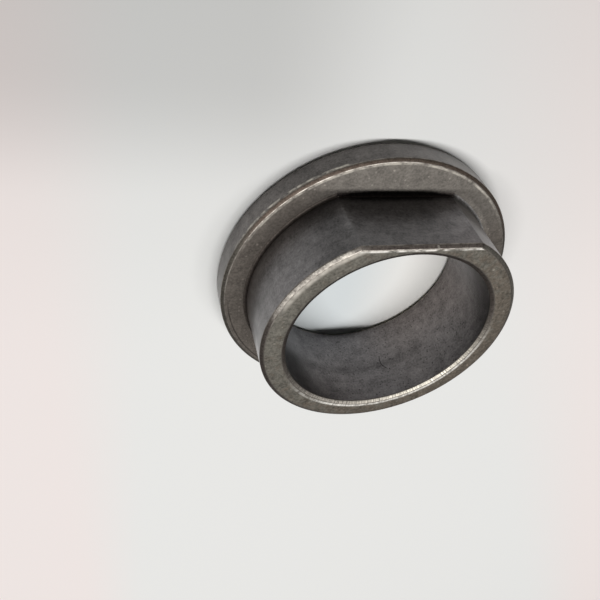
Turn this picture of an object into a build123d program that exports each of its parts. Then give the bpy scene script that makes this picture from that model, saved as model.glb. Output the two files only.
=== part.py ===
"""Flanged plain bushing, pressed and sintered in one piece, with one flat on its sleeve.

Millimetres, Z up. The origin is on the bore's axis, in the flange's back face. The sleeve rises
along +Z from the flange, and the flat that keeps the bushing from turning faces -Y.
"""

import os

from build123d import *

# Bore, for a 25.4 shaft with running clearance
bore_diameter = 25.6

# Walls and flange, each built out from the bore
sleeve_wall = 3.075
wall_at_flat = 1.4
flange_overhang = 3.175

# Lengths along the axis
overall_length = 12.7
flange_thickness = 3.65

# Edges broken by the press tools: width is measured along the face, depth along the axis
rim_chamfer_width = 0.44
rim_chamfer_depth = 0.27
mouth_chamfer_width = 0.48
mouth_chamfer_depth = 0.24
back_chamfer = 0.5

# Inner corner at the sleeve's foot
root_radius = 0.4

bore_radius = bore_diameter / 2
sleeve_radius = bore_radius + sleeve_wall
flange_radius = sleeve_radius + flange_overhang
flat_distance = bore_radius + wall_at_flat


with BuildPart() as flanged_bushing:
    # The flange is a plain disc
    with BuildSketch() as flange_outline:
        Circle(flange_radius)
    extrude(amount=flange_thickness)

    # The sleeve is a D in section: a round with the flat taken off it
    with BuildSketch(Plane.XY.offset(flange_thickness)) as sleeve_outline:
        Circle(sleeve_radius)
        with Locations((0, -flat_distance)):
            Rectangle(
                2 * sleeve_radius,
                sleeve_radius,
                align=(Align.CENTER, Align.MAX),
                mode=Mode.SUBTRACT,
            )
    extrude(amount=overall_length - flange_thickness)

    # A small radius runs round the sleeve's foot, along the flat too
    flange_front = flanged_bushing.faces().filter_by(Plane.XY).group_by(Axis.Z)[1][0]
    fillet(flange_front.inner_wires()[0].edges(), radius=root_radius)

    # The bore runs right through
    Hole(bore_radius)

    # The sleeve's end: first its D-shaped outer edge, flat included, then the bore's mouth
    sleeve_end = flanged_bushing.faces().sort_by(Axis.Z)[-1]
    chamfer(
        sleeve_end.outer_wire().edges(),
        length=rim_chamfer_width,
        length2=rim_chamfer_depth,
        reference=sleeve_end,
    )
    sleeve_end = flanged_bushing.faces().sort_by(Axis.Z)[-1]
    chamfer(
        sleeve_end.inner_wires()[0].edges(),
        length=mouth_chamfer_width,
        length2=mouth_chamfer_depth,
        reference=sleeve_end,
    )

    # The flange's front rim
    flange_front = flanged_bushing.faces().filter_by(Plane.XY).group_by(Axis.Z)[1][0]
    chamfer(
        flange_front.outer_wire().edges(),
        length=rim_chamfer_width,
        length2=rim_chamfer_depth,
        reference=flange_front,
    )

    # The back face: its outer rim and the bore's far end
    back_face = flanged_bushing.faces().sort_by(Axis.Z)[0]
    chamfer(back_face.edges(), length=back_chamfer)


os.makedirs("parts", exist_ok=True)
flanged_bushing.part.label = "flanged_bushing"
export_step(flanged_bushing.part, "parts/flanged_bushing.step")
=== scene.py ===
import math

import bmesh
import bpy
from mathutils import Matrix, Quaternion, Vector


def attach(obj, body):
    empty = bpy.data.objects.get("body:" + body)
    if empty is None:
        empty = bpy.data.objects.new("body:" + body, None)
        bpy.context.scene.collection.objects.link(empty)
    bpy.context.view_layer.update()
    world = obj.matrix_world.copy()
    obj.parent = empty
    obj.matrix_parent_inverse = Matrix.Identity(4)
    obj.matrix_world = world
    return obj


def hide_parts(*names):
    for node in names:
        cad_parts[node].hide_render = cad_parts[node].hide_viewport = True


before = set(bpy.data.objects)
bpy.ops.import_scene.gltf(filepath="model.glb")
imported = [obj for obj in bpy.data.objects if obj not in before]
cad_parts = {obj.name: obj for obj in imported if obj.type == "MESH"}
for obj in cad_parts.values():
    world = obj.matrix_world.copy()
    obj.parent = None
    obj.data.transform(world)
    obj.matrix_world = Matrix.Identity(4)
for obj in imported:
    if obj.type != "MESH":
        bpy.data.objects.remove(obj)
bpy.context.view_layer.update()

mm = 0.001

# Sizes of the bushing in millimetres, the same as in the solid
bore_radius = 12.8
sleeve_radius = 15.875
flange_radius = 19.05
flat_distance = 14.2
overall_length = 12.7
flange_thickness = 3.65
rim_width = 0.44
rim_depth = 0.27
mouth_width = 0.48
mouth_depth = 0.24
back_chamfer = 0.5
root_radius = 0.4

# The rounding that wear has left on the sharp edges
worn_edge = 0.07

# How far from the axis the end faces stop: at the flange's rim, the sleeve's, the flat and the mouth
flange_edge = flange_radius - rim_width
end_edge = sleeve_radius - rim_width
flat_edge = flat_distance - rim_width
mouth_edge = bore_radius + mouth_width

# A height that tells the sleeve's end from the flange, and a radius that tells the rim from the sleeve
end_from = 8.0
rim_from = 17.0

# How much wider the flat's cutting block is than its cut, and how far it goes above the sleeve's end
tool_margin = 0.2
tool_past = 1.0

# Segments round the axis, in the foot's radius and in the worn rounding
around = 480
root_segments = 6
worn_segments = 2

# In millimetres: the same height, close beside an edge, and close enough to be welded
same_place = 0.001
close_by = 0.01
weld = 0.0005

# Turns at an edge: sharp enough to be worn, and sharp enough to show as an edge in the shading
sharp_turn = math.radians(22)
smooth_turn = math.radians(20)

# How much of a face's normal points along the axis: more than the first two on an end face and on
# a chamfer, and less than the last on a wall
end_facing = 0.97
chamfer_facing = 0.5
wall_facing = 0.2

# The finishes' slots on the bushing
PRESSED, SIZED, STRIP, BORE, EDGE = range(5)

# The photograph's camera, in millimetres, found from the bushing's own edges
camera_place = Vector((31.26, -52.96, 58.05))
camera_aim = Vector((9.83, -0.71, 6.35))
camera_roll = math.radians(161.66)
photo_width = 600
focal_pixels = 628.2
sensor_width = 36.0

# The nearest and the furthest that the camera sees, in metres
camera_from = 0.001
camera_to = 10

# The room's light, and its dimmer near side: which way that lies, and its full and outer half angles
room_light = (0.06, 0.06, 0.06)
near_side_light = (0.015, 0.015, 0.015)
near_side_way = (0.3, -0.8, 0.42)
near_side_full = 30
near_side_edge = 80

# The strip light over the bushing, in metres and watts: a little towards +X, and a little beyond it
strip_height = 1.3
strip_aside = 0.06 * strip_height
strip_beyond = math.tan(math.radians(4.4)) * strip_height
strip_place = (strip_aside, strip_beyond, strip_height)
strip_length = 1.15 * strip_height
strip_width = 0.05 * strip_height
strip_power = 20.5
strip_colour = (1.0, 0.985, 0.98)

# Paper colours with painted light: by the bushing, to its sides, and inside the bore on its cool and its
# warm side
paper_near = (0.765, 0.775, 0.76)
paper_side = (0.81, 0.755, 0.735)
paper_cool = (0.645, 0.69, 0.70)
paper_warm = (0.79, 0.785, 0.755)

# Where each of the paper's painted tints of light begins and is full, in millimetres
plus_x_tint = (27, 42)
minus_x_tint = (14, 44)
minus_x_slant = 0.54
bore_cool_tint = (-9, 2)
camera_dim = (-20, 70)
corner_dim_out = (10, 26)
corner_dim_x = (-1, 18)

# Painted shade: what the paper's colour is multiplied by towards the camera, and in the corner between
# that and +X
camera_shade = 0.8
corner_shade = 0.78

# The paper's sides, in metres, and in millimetres how far it lies below the bushing and how far past
# the bore's radius its inner tints go
paper_size = 2.0
paper_gap = 0.02
bore_overlap = 0.6

# Metal colours, as the share of light that the bare metal gives back
end_grey = (0.192, 0.182, 0.157)
end_brown = (0.170, 0.148, 0.122)
flange_grey = (0.205, 0.19, 0.17)
flange_brown = (0.168, 0.150, 0.132)
wall_grey = (0.148, 0.143, 0.145)
rim_grey = (0.152, 0.141, 0.136)
bore_grey = (0.146, 0.138, 0.141)
bore_brown = (0.172, 0.154, 0.150)
flange_rub = (0.55, 0.52, 0.46)
end_rub = (0.56, 0.53, 0.475)
flat_rub = (0.85, 0.83, 0.78)
# The mouth's bright line is rubbed wear with a painted highlight on its far side
mouth_rub_and_highlight = (1.0, 0.985, 0.93)
edge_brown = (0.145, 0.115, 0.094)
edge_green = (0.125, 0.115, 0.098)
edge_dark = (0.105, 0.09, 0.08)
# Painted light on the back chamfer, which lies in shade
back_painted_light = (0.4, 0.38, 0.36)
# Painted shade for the foot before the flat
foot_painted_shade = (0.07, 0.06, 0.055)
foot_brown = (0.085, 0.073, 0.064)
# A painted highlight for the foot on the -X side
foot_painted_highlight = (0.285, 0.277, 0.268)
mouth_metal = (0.32, 0.3, 0.265)
# A painted highlight for the far side of the mouth's chamfer
mouth_painted_highlight = (0.47, 0.448, 0.39)
strip_dull = (0.13, 0.115, 0.1)
strip_bright = (0.36, 0.335, 0.3)
nick_grey = (0.3, 0.28, 0.25)

# How rough each finish is, and how far its grain changes that
pressed_roughness = 0.68
sized_roughness = 0.33
bore_roughness = 0.32
edge_roughness = 0.6
strip_roughness = 0.55
paper_roughness = 0.9
grain_gloss = 0.2

# The scratch in the bore: its arc's centre, along the wall from the far side and up, and its sizes
scratch_centre = (6.15, 6.7)
scratch_radius = 2.0
scratch_heights = (5.8, 8.15)
scratch_half_width = 0.05

# The slanting nick across the broken edge above the flat, and how far along the edge it lies
nick_x = (-8.85, -8.6)
nick_slant = -0.5


def nothing_selected():
    """Leaves object mode with nothing selected, so that an operator acts only on what comes next."""
    if bpy.context.object and bpy.context.object.mode != "OBJECT":
        bpy.ops.object.mode_set(mode="OBJECT")
    bpy.ops.object.select_all(action="DESELECT")


def pick(mode, wanted):
    """In edit mode, selects the vertices, edges or faces for which wanted is true."""
    bpy.ops.mesh.select_mode(type=mode)
    bpy.ops.mesh.select_all(action="DESELECT")
    mesh = bmesh.from_edit_mesh(bpy.context.object.data)
    group = {"VERT": mesh.verts, "EDGE": mesh.edges, "FACE": mesh.faces}[mode]
    for part in group:
        if wanted(part):
            part.select_set(True)
    mesh.select_flush_mode()
    bmesh.update_edit_mesh(bpy.context.object.data)


def pick_end_face(upwards):
    """Selects the faces that look straight up, or straight down."""
    way = 1 if upwards else -1
    pick("FACE", lambda f: way * f.normal.z > end_facing)


def from_axis(point):
    """A point's distance from the bushing's axis."""
    return math.hypot(point.x, point.y)


def level(part, height):
    """True if every vertex of an edge or face lies at this height."""
    return all(abs(v.co.z - height) < same_place for v in part.verts)


def middle(edge):
    """The point halfway along an edge."""
    return (edge.verts[0].co + edge.verts[1].co) / 2


def raise_faces(height):
    """Extrudes the selected faces straight up."""
    bpy.ops.mesh.extrude_region_move(TRANSFORM_OT_translate={"value": (0, 0, height)})


def finish_shape():
    """Points all faces outwards and leaves edit mode."""
    bpy.ops.mesh.select_all(action="SELECT")
    bpy.ops.mesh.normals_make_consistent(inside=False)
    bpy.ops.object.mode_set(mode="OBJECT")


def model_flange_and_sleeve():
    """The outside, all full rounds and still closed at both ends."""
    nothing_selected()
    disc_height = flange_thickness - rim_depth - back_chamfer
    bpy.ops.mesh.primitive_cylinder_add(
        vertices=around,
        radius=flange_radius,
        depth=disc_height,
        end_fill_type="NGON",
        location=(0, 0, back_chamfer + disc_height / 2),
    )
    body = bpy.context.object
    body.name = "bushing_body"
    bpy.ops.object.transform_apply(location=True)
    bpy.ops.object.mode_set(mode="EDIT")

    # Back face, with its outer edge broken
    pick_end_face(upwards=False)
    bpy.ops.mesh.inset(thickness=back_chamfer, depth=back_chamfer)

    # Flange's front rim, its face as far as the sleeve, and the sleeve up to its own broken edge
    pick_end_face(upwards=True)
    bpy.ops.mesh.inset(thickness=rim_width, depth=rim_depth)
    bpy.ops.mesh.inset(thickness=flange_radius - sleeve_radius - rim_width, depth=0)
    raise_faces(overall_length - flange_thickness - rim_depth)
    bpy.ops.mesh.inset(thickness=rim_width, depth=rim_depth)

    # The root, where the sleeve meets the flange
    pick("EDGE", lambda e: level(e, flange_thickness)
         and from_axis(middle(e)) < sleeve_radius + close_by)
    bpy.ops.mesh.bevel(offset=root_radius, segments=root_segments, affect="EDGES")
    return body


def model_bore():
    """In the body's edit mode, opens both ends and puts in the bore's wall with its chamfers."""
    pick("FACE", lambda f: len(f.verts) == around)
    bpy.ops.mesh.delete(type="ONLY_FACE")
    wall_height = overall_length - mouth_depth - back_chamfer
    bpy.ops.mesh.primitive_cylinder_add(
        vertices=around,
        radius=bore_radius,
        depth=wall_height,
        end_fill_type="NOTHING",
        location=(0, 0, back_chamfer + wall_height / 2),
    )
    for low, move, grow in (
        (overall_length - mouth_depth, mouth_depth, mouth_width),
        (back_chamfer, -back_chamfer, back_chamfer),
    ):
        chamfer_radius = bore_radius + grow
        size = chamfer_radius / bore_radius
        pick("EDGE", lambda e: level(e, low) and from_axis(middle(e)) < bore_radius + close_by)
        bpy.ops.mesh.extrude_edges_move()
        bpy.ops.transform.resize(value=(size, size, 1), center_override=(0, 0, 0))

        # The end's ring face is bridged while the chamfer's edge is still low, and that then moves
        pick("EDGE", lambda e: level(e, low + move)
             or level(e, low) and chamfer_radius - close_by < from_axis(middle(e)) < sleeve_radius)
        bpy.ops.mesh.bridge_edge_loops()
        pick("VERT", lambda v: abs(v.co.z - low) < same_place
             and chamfer_radius - close_by < from_axis(v.co) < sleeve_radius)
        bpy.ops.transform.translate(value=(0, 0, move))


def model_round_body():
    """The bushing before its flat is cut: flange, sleeve and bore, all full rounds."""
    body = model_flange_and_sleeve()
    model_bore()
    bpy.ops.mesh.select_all(action="SELECT")
    bpy.ops.mesh.remove_doubles(threshold=weld)
    finish_shape()
    return body


def model_flat_tool():
    """The block that cuts the flat: rounded at the flat's foot, and opened out at its top edge."""
    nothing_selected()
    height = overall_length - flange_thickness - rim_depth
    depth = sleeve_radius
    width = 2 * math.sqrt((sleeve_radius + root_radius) ** 2 - flat_distance ** 2) + tool_margin
    bpy.ops.mesh.primitive_cube_add(
        size=1,
        location=(0, -flat_distance - depth / 2, flange_thickness + height / 2),
    )
    tool = bpy.context.object
    bpy.ops.transform.resize(value=(width, depth, height))
    bpy.ops.object.transform_apply(location=True, scale=True)
    bpy.ops.object.mode_set(mode="EDIT")

    # Its inner lower edge gives the radius at the flat's foot
    pick("EDGE", lambda e: level(e, flange_thickness)
         and all(abs(v.co.y + flat_distance) < same_place for v in e.verts))
    bpy.ops.mesh.bevel(offset=root_radius, segments=root_segments, affect="EDGES")

    # Above the flat it leans in over the sleeve's end, which breaks the flat's top edge
    pick_end_face(upwards=True)
    lean_height = rim_depth + tool_past
    raise_faces(lean_height)
    pick("VERT", lambda v: v.co.z > overall_length and v.co.y > -flat_distance - same_place)
    bpy.ops.transform.translate(value=(0, rim_width / rim_depth * lean_height, 0))
    finish_shape()
    return tool


def cut_flat(body):
    """Takes the flat off the sleeve."""
    tool = model_flat_tool()
    nothing_selected()
    body.select_set(True)
    bpy.context.view_layer.objects.active = body
    cut = body.modifiers.new("flat", "BOOLEAN")
    cut.operation = "DIFFERENCE"
    cut.solver = "EXACT"
    cut.object = tool
    bpy.ops.object.modifier_apply(modifier=cut.name)
    bpy.data.objects.remove(tool)


def soften_edges(body):
    """Rounds every sharp edge a little and gives the rounding its own finish."""
    bevel = body.modifiers.new("worn_edges", "BEVEL")
    bevel.width = worn_edge
    bevel.segments = worn_segments
    bevel.limit_method = "ANGLE"
    bevel.angle_limit = sharp_turn
    bevel.use_clamp_overlap = False
    bevel.material = STRIP
    bpy.ops.object.modifier_apply(modifier=bevel.name)


def model_bushing(finishes):
    """The finished bushing's mesh, in metres, with its finishes in their slots."""
    body = model_round_body()
    cut_flat(body)
    body.data.materials.clear()
    for finish in finishes:
        body.data.materials.append(finish)
    soften_edges(body)

    # From millimetres to metres
    bpy.ops.object.mode_set(mode="EDIT")
    bpy.ops.mesh.select_all(action="SELECT")
    bpy.ops.transform.resize(value=(mm, mm, mm), center_override=(0, 0, 0))
    bpy.ops.object.mode_set(mode="OBJECT")
    bpy.ops.object.shade_smooth_by_angle(angle=smooth_turn)

    # The large faces keep their own normals, so that the narrow worn strips don't tilt their shine
    weighted = body.modifiers.new("face_normals", "WEIGHTED_NORMAL")
    weighted.keep_sharp = True
    bpy.ops.object.modifier_apply(modifier=weighted.name)
    return body


def give_finishes(body):
    """Gives each face its finish by its slope and place.

    The worn roundings keep theirs, apart from those of upright edges, which go with the wall.
    """
    root_top = flange_thickness + root_radius + close_by
    for face in body.data.polygons:
        facing = abs(face.normal.z)
        out = from_axis(face.center) / mm
        height = face.center.z / mm
        in_root = out < sleeve_radius + root_radius and flange_thickness < height < root_top
        if face.material_index == STRIP and facing >= wall_facing:
            continue
        if facing > end_facing and not in_root:
            face.material_index = PRESSED
        elif out < bore_radius + 2 * close_by:
            face.material_index = BORE
        elif facing > chamfer_facing or in_root:
            face.material_index = EDGE
        else:
            face.material_index = SIZED


# Shader nodes: small helpers, then the effects that the finishes share


def feed(tree, sockets, values):
    """Gives sockets their values by name: another socket is linked, a number or colour is set."""
    for name, value in values.items():
        if isinstance(value, bpy.types.NodeSocket):
            tree.links.new(value, sockets[name])
        else:
            sockets[name].default_value = value


def add_node(tree, kind, inputs=None, **settings):
    """Adds a node with its settings and its inputs' values."""
    node = tree.nodes.new(kind)
    for name, value in settings.items():
        setattr(node, name, value)
    feed(tree, node.inputs, inputs or {})
    return node


def calc(tree, operation, *terms):
    """One sum on up to three numbers or sockets."""
    return add_node(tree, "ShaderNodeMath", dict(enumerate(terms)), operation=operation).outputs["Value"]


def ease(tree, value, low, high):
    """Goes smoothly from 0 to 1 as the value goes from low to high."""
    inputs = {"Value": value, "From Min": low, "From Max": high}
    return add_node(tree, "ShaderNodeMapRange", inputs, interpolation_type="SMOOTHSTEP").outputs["Result"]


def blend(tree, mask, below, above):
    """Goes from one colour to another as the mask goes from 0 to 1."""
    inputs = {"Factor": mask}
    for name, colour in (("A", below), ("B", above)):
        inputs[name] = (*colour, 1) if isinstance(colour, tuple) else colour
    return add_node(tree, "ShaderNodeMix", inputs, data_type="RGBA").outputs["Result"]


def scaled(tree, colour, factor):
    """A colour multiplied by a number that changes over the surface."""
    inputs = {0: colour, "Scale": factor}
    return add_node(tree, "ShaderNodeVectorMath", inputs, operation="SCALE").outputs["Vector"]


def vary(tree, value, strength, about=1):
    """A number that is changed this strongly by a mask or a swing."""
    return calc(tree, "MULTIPLY_ADD", value, strength, about)


def shaded(tree, colour, *tones):
    """A colour with tones laid on: each is a mask, and what it multiplies the colour by."""
    for mask, shade in tones:
        colour = scaled(tree, colour, vary(tree, mask, shade - 1))
    return colour


def all_of(tree, *masks):
    """Where all of these masks hold."""
    result = masks[0]
    for mask in masks[1:]:
        result = calc(tree, "MULTIPLY", result, mask)
    return result


def opposite(tree, mask):
    """Where a mask doesn't hold."""
    return calc(tree, "SUBTRACT", 1, mask)


def noise(tree, place, size, detail=2.0, roughness=0.5):
    """Soft noise from 0 to 1, with lumps about this many millimetres across."""
    return add_node(tree, "ShaderNodeTexNoise", {
        "Vector": place,
        "Scale": calc(tree, "DIVIDE", 1, size),
        "Detail": detail,
        "Roughness": roughness,
    }).outputs["Fac"]


def swing(tree, place, size, detail=2.0, roughness=0.5):
    """The same noise about zero, from -0.5 to 0.5."""
    return calc(tree, "SUBTRACT", noise(tree, place, size, detail, roughness), 0.5)


def bumps(tree, height, strength, depth):
    """The normal of small bumps, this many millimetres deep."""
    inputs = {"Height": height, "Strength": strength, "Distance": depth * mm}
    return add_node(tree, "ShaderNodeBump", inputs).outputs["Normal"]


def new_group(name, inputs, outputs):
    """An empty node group with these input values and output names, and its two end nodes."""
    group = bpy.data.node_groups.new(name, "ShaderNodeTree")
    for socket_name, value in inputs.items():
        kind = "NodeSocketVector" if isinstance(value, tuple) else "NodeSocketFloat"
        socket = group.interface.new_socket(name=socket_name, in_out="INPUT", socket_type=kind)
        socket.default_value = value
    for socket_name in outputs:
        group.interface.new_socket(name=socket_name, in_out="OUTPUT", socket_type="NodeSocketFloat")
    return group, group.nodes.new("NodeGroupInput").outputs, group.nodes.new("NodeGroupOutput").inputs


def place_on_round_group():
    """Where a point lies on the bushing, in millimetres and degrees.

    Turn is counted from the middle of the flat towards +X, and Far Turn from the opposite side.
    Out is the distance from the axis on the side that the flat faces.
    """
    tree, given, result = new_group(
        "place_on_round", {"Place": (0, 0, 0)}, ("Radius", "Turn", "Far Turn", "X", "Out", "Height"))
    place = add_node(tree, "ShaderNodeSeparateXYZ", {0: given["Place"]}).outputs
    y_squared = calc(tree, "MULTIPLY", place["Y"], place["Y"])
    squares = calc(tree, "MULTIPLY_ADD", place["X"], place["X"], y_squared)
    back_x = calc(tree, "MULTIPLY", place["X"], -1)
    back_y = calc(tree, "MULTIPLY", place["Y"], -1)
    feed(tree, result, {
        "Radius": calc(tree, "SQRT", squares),
        "Turn": calc(tree, "DEGREES", calc(tree, "ARCTAN2", place["X"], back_y)),
        "Far Turn": calc(tree, "DEGREES", calc(tree, "ARCTAN2", back_x, place["Y"])),
        "X": place["X"],
        "Out": back_y,
        "Height": place["Z"],
    })
    return tree


def soft_band_group():
    """A mask that is 1 between two values, with soft ends of a given width."""
    tree, given, result = new_group(
        "soft_band", {"Value": 0.0, "From": 0.0, "To": 1.0, "Fade": 0.1}, ("Mask",))
    half = calc(tree, "MULTIPLY", given["Fade"], 0.5)
    past_from, past_to = (
        ease(tree, given["Value"], calc(tree, "SUBTRACT", end, half), calc(tree, "ADD", end, half))
        for end in (given["From"], given["To"]))
    feed(tree, result, {"Mask": calc(tree, "SUBTRACT", past_from, past_to)})
    return tree


def powder_grain_group():
    """The mottle of pressed and sintered powder: grains, and cloudy patches a few grains across."""
    tree, given, result = new_group(
        "powder_grain",
        {"Place": (0, 0, 0), "Grain": 0.3, "Patch": 1.5, "Grain Strength": 0.5, "Patch Strength": 0.5},
        ("Shade", "Height"))
    grain = swing(tree, given["Place"], given["Grain"], detail=2.0, roughness=0.6)
    patch = swing(tree, given["Place"], given["Patch"], detail=3.0, roughness=0.6)
    grains = vary(tree, grain, given["Grain Strength"])
    feed(tree, result, {
        "Shade": vary(tree, patch, given["Patch Strength"], about=grains),
        "Height": grain,
    })
    return tree


def pores_group():
    """Small scattered pits, as a mask.

    Size is a pit's radius as a part of the spacing, and Share is how many of the places have a pit.
    """
    floor_share = 0.4
    tree, given, result = new_group(
        "pores", {"Place": (0, 0, 0), "Spacing": 0.7, "Size": 0.22, "Share": 0.3}, ("Mask",))
    cells = add_node(tree, "ShaderNodeTexVoronoi", {
        "Vector": given["Place"],
        "Scale": calc(tree, "DIVIDE", 1, given["Spacing"]),
    }).outputs
    pit_floor = calc(tree, "MULTIPLY", given["Size"], floor_share)
    inside = opposite(tree, ease(tree, cells["Distance"], pit_floor, given["Size"]))
    chance = add_node(tree, "ShaderNodeSeparateColor", {0: cells["Color"]}).outputs["Red"]
    kept = calc(tree, "LESS_THAN", chance, given["Share"])
    feed(tree, result, {"Mask": all_of(tree, inside, kept)})
    return tree


def worn_beads_group():
    """Broken bright marks along a rubbed edge, as a mask. A lower Level leaves more of them."""
    tree, given, result = new_group(
        "worn_beads", {"Place": (0, 0, 0), "Length": 0.6, "Level": 0.5, "Softness": 0.12}, ("Mask",))
    lump = noise(tree, given["Place"], given["Length"], detail=2.0, roughness=0.6)
    low = calc(tree, "SUBTRACT", given["Level"], given["Softness"])
    high = calc(tree, "ADD", given["Level"], given["Softness"])
    feed(tree, result, {"Mask": ease(tree, lump, low, high)})
    return tree


place_on_round = place_on_round_group()
soft_band = soft_band_group()
powder_grain = powder_grain_group()
pores = pores_group()
worn_beads = worn_beads_group()


def spaced(name):
    """A socket's name, which a keyword has to write without spaces."""
    return name.replace("_", " ")


def use_group(tree, group, **inputs):
    """Places a node group in a material, with its own values."""
    named = {spaced(name): value for name, value in inputs.items()}
    return add_node(tree, "ShaderNodeGroup", named, node_tree=group).outputs


def band(tree, value, low, high, fade):
    """Where a value lies between two others, with soft ends."""
    return use_group(tree, soft_band, Value=value, From=low, To=high, Fade=fade)["Mask"]


def zone(tree, at, *masks, **ranges):
    """Where all the masks hold, and each of these places on the bushing lies in its range.

    A range is from, to and the width of its soft ends, in millimetres or degrees.
    """
    bands = [band(tree, at[spaced(name)], *limits) for name, limits in ranges.items()]
    return all_of(tree, *masks, *bands)


def specks(tree, place, spacing, size, share):
    """Scattered small spots, as a mask."""
    return use_group(tree, pores, Place=place, Spacing=spacing, Size=size, Share=share)["Mask"]


def beads(tree, place, length, level, softness):
    """Broken marks of wear, as a mask."""
    return use_group(tree, worn_beads, Place=place, Length=length, Level=level, Softness=softness)["Mask"]


def ticks_across(tree, at):
    """Fine ticks across the bore's mouth, left by the cutter: about -0.5 to 0.5 round the bore."""
    mm_per_degree = 0.22
    tick = 0.2
    along = calc(tree, "MULTIPLY", at["Far Turn"], mm_per_degree)
    return swing(tree, add_node(tree, "ShaderNodeCombineXYZ", {"X": along}).outputs["Vector"], tick)


def gloss(tree, grain, roughness):
    """A finish's roughness, changed a little by its grain."""
    return vary(tree, grain["Height"], grain_gloss, about=roughness)


def start_material(name, metallic):
    """A new material, its tree and shader, and its points' places in millimetres and on the round."""
    material = bpy.data.materials.new(name)
    material.use_nodes = True
    tree = material.node_tree
    shader = tree.nodes["Principled BSDF"].inputs
    shader["Metallic"].default_value = metallic
    in_metres = add_node(tree, "ShaderNodeTexCoord").outputs["Object"]
    to_mm = {"Vector": in_metres, "Scale": (1 / mm,) * 3}
    place = add_node(tree, "ShaderNodeMapping", to_mm).outputs["Vector"]
    return material, tree, shader, place, use_group(tree, place_on_round, Place=place)


def pressed_face():
    """The two faces left by the punches: beige-grey mottle, with rubbed bright edges and painted light in
    places.
    """
    material, tree, shader, place, at = start_material("pressed_face", metallic=1.0)
    on_end = calc(tree, "GREATER_THAN", at["Height"], end_from)
    on_flange = opposite(tree, on_end)

    # The end is greyer in clouds towards +X and the flat, and the flange in front of the flat is lighter
    # grey, partly its own tone and partly painted light
    cloud = 0.9
    cloud_reach = 5 * sleeve_radius
    flat_share = 0.6
    towards = calc(tree, "MULTIPLY_ADD", at["Out"], flat_share, at["X"])
    clouded = vary(tree, swing(tree, place, cloud), cloud_reach, about=towards)
    end_colour = blend(tree, ease(tree, clouded, -sleeve_radius, sleeve_radius), end_brown, end_grey)
    before_flat = zone(tree, at, Turn=(-55, 32, 24))
    flange_colour = blend(tree, before_flat, flange_brown, flange_grey)
    grain = use_group(tree, powder_grain, Place=place, Grain=0.3, Patch=1.3, Patch_Strength=0.8,
                      Grain_Strength=vary(tree, on_end, strength=0.3, about=1.3))
    metal = scaled(tree, blend(tree, on_end, flange_colour, end_colour), grain["Shade"])

    # Pits, light flecks, a faint dark line near the flange's rim, and a painted highlight on the flange
    # beside the foot
    pits = specks(tree, place, spacing=0.7, size=0.25, share=0.12)
    flecks = specks(tree, place, spacing=0.55, size=0.34, share=0.16)
    rim_dark_line = zone(tree, at, Radius=(flange_edge - 0.53, flange_edge - 0.35, 0.08), Turn=(98, 138, 12))
    beside_foot_painted_highlight = zone(
        tree, at, on_flange,
        Radius=(sleeve_radius - 0.275, sleeve_radius + 0.925, 0.6), Turn=(-76, -32, 12))
    metal = shaded(tree, metal, (pits, 0.75), (flecks, 1.55), (rim_dark_line, 0.5), (beside_foot_painted_highlight, 1.45))

    # Worn lines, from the outside in: the flange's edge, the sleeve's, the flat's and the bore's mouth,
    # whose line is also a painted highlight on its far side
    flange_line = zone(
        tree, at, on_flange, beads(tree, place, length=1.1, level=0.48, softness=0.2),
        Radius=(flange_edge - 0.31, flange_edge + 0.14, 0.16), Turn=(-52, 64, 24))
    end_line = zone(
        tree, at, on_end, beads(tree, place, length=1.4, level=0.4, softness=0.25),
        Radius=(end_edge - 0.535, end_edge + 0.265, 0.5), Turn=(24, 68, 18))
    flat_line = zone(
        tree, at, on_end, beads(tree, place, length=1.1, level=0.5, softness=0.2),
        Out=(flat_edge - 0.3, flat_edge + 0.19, 0.2))
    ticks = vary(tree, ticks_across(tree, at), strength=1.6, about=0.75)
    mouth_wear_and_highlight = zone(
        tree, at, on_end, ticks, beads(tree, place, length=0.8, level=0.4, softness=0.2),
        Radius=(mouth_edge - 0.08, mouth_edge + 0.44, 0.24), Far_Turn=(-42, 80, 48))
    for line, bright in (
        (flange_line, flange_rub),
        (end_line, end_rub),
        (flat_line, flat_rub),
        (mouth_wear_and_highlight, mouth_rub_and_highlight),
    ):
        metal = blend(tree, line, metal, bright)
    feed(tree, shader, {
        "Base Color": metal,
        "Roughness": gloss(tree, grain, pressed_roughness),
        "Normal": bumps(tree, grain["Height"], strength=0.5, depth=0.05),
    })
    return material


def wall_metal(tree, place, colour, grain_strength):
    """The sized walls' metal: fine grain, cloudy patches and faint marks drawn out round the wall."""
    grain = use_group(tree, powder_grain, Place=place, Grain=0.26, Patch=1.6,
                      Grain_Strength=grain_strength, Patch_Strength=1.1)
    drawn_out = {"Vector": place, "Scale": (0.2, 0.2, 1)}
    drawn = add_node(tree, "ShaderNodeMapping", drawn_out).outputs["Vector"]
    drag = vary(tree, swing(tree, drawn, size=0.6), strength=0.5)
    return scaled(tree, scaled(tree, colour, grain["Shade"]), drag), grain


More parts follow.
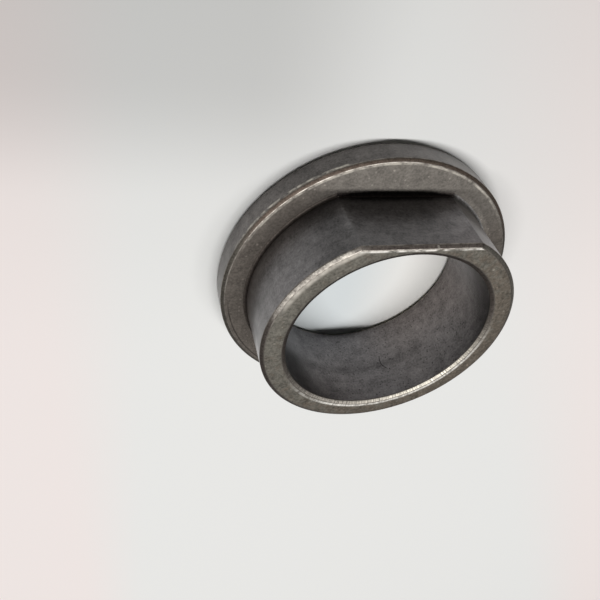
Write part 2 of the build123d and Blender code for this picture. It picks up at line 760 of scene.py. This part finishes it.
def sized_wall():
    """The sleeve's outside, its flat and the flange's rim, smoothed by the die."""
    material, tree, shader, place, at = start_material("sized_wall", metallic=1.0)
    on_rim = calc(tree, "GREATER_THAN", at["Radius"], rim_from)
    on_sleeve = opposite(tree, on_rim)
    colour = blend(tree, on_rim, wall_grey, rim_grey)
    metal, grain = wall_metal(tree, place, colour, grain_strength=1.2)

    # Painted shade and light by place: painted shade on the rim before the flat, on the flat and more at
    # its foot, and on the sleeve beside the flat; a painted highlight down the flat's +X corner; painted
    # light on the sleeve's +X side and its foot, and a painted sheen at its top
    rim_painted_shade = zone(tree, at, on_rim, Turn=(-8, 44, 20))
    on_flat = zone(tree, at, on_sleeve, Turn=(-15, 26, 14))
    flat_low_painted_shade = zone(tree, at, on_flat, Height=(3, 8, 2.5))
    flat_corner_painted_highlight = zone(tree, at, on_sleeve, Turn=(25.5, 29, 2.5), Height=(5, 9.5, 2))
    beside_flat_painted_shade = zone(tree, at, on_sleeve, Turn=(26, 40, 10))
    plus_x_painted_light = zone(tree, at, on_sleeve, Turn=(48, 130, 16))
    plus_x_foot_painted_light = zone(tree, at, on_sleeve, Turn=(42, 130, 16), Height=(3, 6.5, 2))
    plus_x_top_painted_sheen = zone(tree, at, on_sleeve, Turn=(95, 135, 8), Height=(10.6, 14, 2.4))
    pits = specks(tree, place, spacing=0.8, size=0.2, share=0.18)
    metal = shaded(
        tree, metal, (rim_painted_shade, 0.72), (on_flat, 0.82), (flat_low_painted_shade, 0.8), (flat_corner_painted_highlight, 1.22), (pits, 0.7),
        (beside_flat_painted_shade, 0.8), (plus_x_painted_light, 1.25), (plus_x_foot_painted_light, 1.4), (plus_x_top_painted_sheen, 2.3))

    # Rubbed spots along the top of the rim
    rim_top = flange_thickness - rim_depth
    rim_spots = zone(
        tree, at, on_rim, beads(tree, place, length=0.9, level=0.52, softness=0.16),
        Height=(rim_top - 0.36, rim_top + 0.22, 0.25), Turn=(18, 66, 14))
    feed(tree, shader, {
        "Base Color": blend(tree, rim_spots, metal, flange_rub),
        "Roughness": gloss(tree, grain, sized_roughness),
        "Normal": bumps(tree, grain["Height"], strength=0.4, depth=0.03),
    })
    return material


def scratch_mark(tree, at):
    """A short curved scratch on the bore's far side, as a mask."""
    along = calc(tree, "MULTIPLY", at["Far Turn"], math.radians(1) * bore_radius)
    across = calc(tree, "SUBTRACT", along, scratch_centre[0])
    above = calc(tree, "SUBTRACT", at["Height"], scratch_centre[1])
    squares = calc(tree, "MULTIPLY_ADD", across, across, calc(tree, "MULTIPLY", above, above))
    on_arc = band(
        tree, calc(tree, "SQRT", squares), low=scratch_radius - scratch_half_width,
        high=scratch_radius + scratch_half_width, fade=0.08)
    left_half = calc(tree, "LESS_THAN", across, 0)
    return zone(tree, at, on_arc, left_half, Height=(*scratch_heights, 0.2))


def bore_wall():
    """The running surface: smooth, with small open pores, a scratch, and painted shade in a band across
    the far side and on both flanks near the mouth.
    """
    material, tree, shader, place, at = start_material("bore_wall", metallic=1.0)
    brown_side = zone(tree, at, Far_Turn=(22, 100, 40))
    colour = blend(tree, brown_side, bore_grey, bore_brown)
    metal, grain = wall_metal(tree, place, colour, grain_strength=1.3)
    pits = specks(tree, place, spacing=0.42, size=0.34, share=0.34)
    # Painted shade: a band across the far side, and both flanks darker near the mouth
    far_band_painted_shade = zone(tree, at, Height=(6.6, 7.8, 1.2), Far_Turn=(-45, 50, 20))
    plus_x_flank_painted_shade = zone(tree, at, Turn=(100, 142, 20), Height=(7, 13, 2.5))
    minus_x_flank_painted_shade = zone(tree, at, Far_Turn=(66, 120, 30), Height=(7, 13, 3))
    metal = shaded(
        tree, metal, (pits, 0.52), (far_band_painted_shade, 0.72), (plus_x_flank_painted_shade, 0.62), (minus_x_flank_painted_shade, 0.9),
        (scratch_mark(tree, at), 0.25))
    feed(tree, shader, {
        "Base Color": metal,
        "Roughness": gloss(tree, grain, bore_roughness),
        "Normal": bumps(tree, calc(tree, "SUBTRACT", grain["Height"], pits), strength=0.5, depth=0.03),
    })
    return material


def mouth_chamfer_colour(tree, at):
    """The mouth's chamfer: cut metal with fine ticks, with a painted highlight on the far side and
    painted shade on the near side.
    """
    bright = blend(tree, ease(tree, at["Far Turn"], -15, 45), mouth_metal, mouth_painted_highlight)
    ticked = scaled(tree, bright, vary(tree, ticks_across(tree, at), strength=3.6))
    return blend(tree, zone(tree, at, Far_Turn=(-58, 80, 56)), edge_dark, ticked)


def broken_edge():
    """The chamfers and the sleeve's foot: dull brown, but rubbed light in the places where hands go, with
    painted shade on the foot before the flat, a painted highlight on the foot's -X side and painted light
    on the back chamfer, which lies in shade.
    """
    material, tree, shader, place, at = start_material("broken_edge", metallic=1.0)
    grain = use_group(tree, powder_grain, Place=place, Grain=0.25, Patch=1.0,
                      Grain_Strength=1.2, Patch_Strength=0.8)
    on_end = calc(tree, "GREATER_THAN", at["Height"], end_from)
    at_back = calc(tree, "LESS_THAN", at["Height"], back_chamfer)
    at_mouth = calc(tree, "LESS_THAN", at["Radius"], mouth_edge + 0.1)
    at_foot = all_of(tree, calc(tree, "LESS_THAN", at["Radius"], rim_from), opposite(tree, on_end))

    # The flange's edge is brown where it turns to the flat and greener behind, and the end's is dark
    before_flat = zone(tree, at, Turn=(-27, 27, 1))
    minus_x_side = zone(tree, at, Turn=(-80, -28, 3))
    flange_rim = blend(tree, zone(tree, at, Turn=(-60, 62, 16)), edge_green, edge_brown)
    foot = blend(tree, before_flat, foot_brown, foot_painted_shade)
    end_worn = zone(
        tree, at, on_end, beads(tree, place, length=0.9, level=0.4, softness=0.3), Turn=(28, 72, 12))
    slanted = calc(tree, "MULTIPLY_ADD", at["Out"], nick_slant, at["X"])
    nick = all_of(tree, on_end, before_flat, band(tree, slanted, *nick_x, fade=0.2))
    metal = blend(tree, on_end, flange_rim, edge_dark)
    # Painted light among these: light on the shaded back chamfer, shade on the foot before the flat, and
    # a highlight on the foot's -X side
    for mask, colour in (
        (at_back, back_painted_light),
        (at_foot, foot),
        (all_of(tree, at_foot, minus_x_side), foot_painted_highlight),
        (all_of(tree, on_end, minus_x_side), end_grey),
        (end_worn, end_rub),
        (nick, nick_grey),
        (at_mouth, mouth_chamfer_colour(tree, at)),
    ):
        metal = blend(tree, mask, metal, colour)
    feed(tree, shader, {
        "Base Color": scaled(tree, metal, grain["Shade"]),
        "Roughness": edge_roughness,
        "Normal": bumps(tree, grain["Height"], strength=0.5, depth=0.05),
    })
    return material


def rubbed_strip():
    """The narrow roundings of the sharp edges, worn bright in places."""
    material, tree, shader, place, at = start_material("rubbed_strip", metallic=1.0)
    marks = beads(tree, place, length=0.8, level=0.5, softness=0.25)
    on_end = calc(tree, "GREATER_THAN", at["Height"], end_from)
    worn_side = calc(tree, "MAXIMUM", opposite(tree, on_end), zone(tree, at, Turn=(-30, 76, 16)))
    bright = all_of(tree, marks, vary(tree, worn_side, strength=0.6, about=0.4))
    feed(tree, shader, {
        "Base Color": blend(tree, bright, strip_dull, strip_bright),
        "Roughness": vary(tree, marks, strength=-0.1, about=strip_roughness),
    })
    return material


def pale_paper():
    """The paper under the bushing, with the photograph's soft tints of light painted on."""
    material, tree, shader, place, at = start_material("pale_paper", metallic=0.0)
    to_plus_x = ease(tree, at["X"], *plus_x_tint)
    slant = calc(tree, "SUBTRACT", calc(tree, "MULTIPLY", at["Out"], minus_x_slant), at["X"])
    to_minus_x = ease(tree, slant, *minus_x_tint)
    tint = blend(tree, calc(tree, "MAXIMUM", to_plus_x, to_minus_x), paper_near, paper_side)
    in_bore = calc(tree, "LESS_THAN", at["Radius"], bore_radius + bore_overlap)
    bore_tint = blend(tree, ease(tree, at["X"], *bore_cool_tint), paper_warm, paper_cool)
    near_camera = ease(tree, at["Out"], *camera_dim)
    near_corner = all_of(tree, ease(tree, at["Out"], *corner_dim_out), ease(tree, at["X"], *corner_dim_x))
    feed(tree, shader, {
        "Base Color": shaded(
            tree, blend(tree, in_bore, tint, bore_tint),
            (near_camera, camera_shade), (near_corner, corner_shade)),
        "Roughness": paper_roughness,
    })
    return material


def lay_paper():
    """The floor: a sheet of paper just below the bushing."""
    nothing_selected()
    bpy.ops.mesh.primitive_plane_add(size=paper_size, location=(0, 0, -paper_gap * mm))
    paper = bpy.context.object
    paper.name = "floor"
    paper.data.materials.append(pale_paper())
    return paper


def soft_patch(tree, direction, towards, edge, full):
    """A mask in the sky: 1 within full degrees of a direction, 0 past edge degrees, soft between."""
    aimed = {0: direction, 1: Vector(towards).normalized()}
    facing = add_node(tree, "ShaderNodeVectorMath", aimed, operation="DOT_PRODUCT").outputs["Value"]
    return ease(tree, facing, math.cos(math.radians(edge)), math.cos(math.radians(full)))


def light_room():
    """The room round the floor: dim, and dimmer still on the near side, where someone would stand."""
    room = bpy.data.worlds.new("studio_room")
    bpy.context.scene.world = room
    room.use_nodes = True
    tree = room.node_tree
    direction = add_node(tree, "ShaderNodeTexCoord").outputs["Generated"]
    near_side = soft_patch(tree, direction, near_side_way, near_side_edge, near_side_full)
    lit = blend(tree, near_side, room_light, near_side_light)
    feed(tree, tree.nodes["Background"].inputs, {"Color": lit})


def hang_strip_light():
    """One long soft strip light over the bushing, along X."""
    nothing_selected()
    bpy.ops.object.light_add(type="AREA", location=strip_place)
    strip = bpy.context.object
    strip.name = "strip_light"
    strip.data.shape = "RECTANGLE"
    strip.data.size = strip_length
    strip.data.size_y = strip_width
    strip.data.energy = strip_power
    strip.data.color = strip_colour


def set_camera():
    """The camera at the photograph's viewpoint."""
    bpy.ops.object.camera_add(location=camera_place * mm)
    camera = bpy.context.object
    camera.rotation_mode = "QUATERNION"
    look = (camera_place - camera_aim).to_track_quat("Z", "Y")
    camera.rotation_quaternion = look @ Quaternion((0, 0, 1), camera_roll)
    camera.data.sensor_width = sensor_width
    camera.data.lens = focal_pixels / photo_width * sensor_width
    camera.data.clip_start = camera_from
    camera.data.clip_end = camera_to
    bpy.context.scene.camera = camera


bushing = model_bushing((pressed_face(), sized_wall(), rubbed_strip(), bore_wall(), broken_edge()))
give_finishes(bushing)

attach(bushing, "root")
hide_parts("flanged_bushing")

floor = lay_paper()

light_room()
hang_strip_light()
set_camera()
bpy.context.scene.view_settings.view_transform = "Standard"
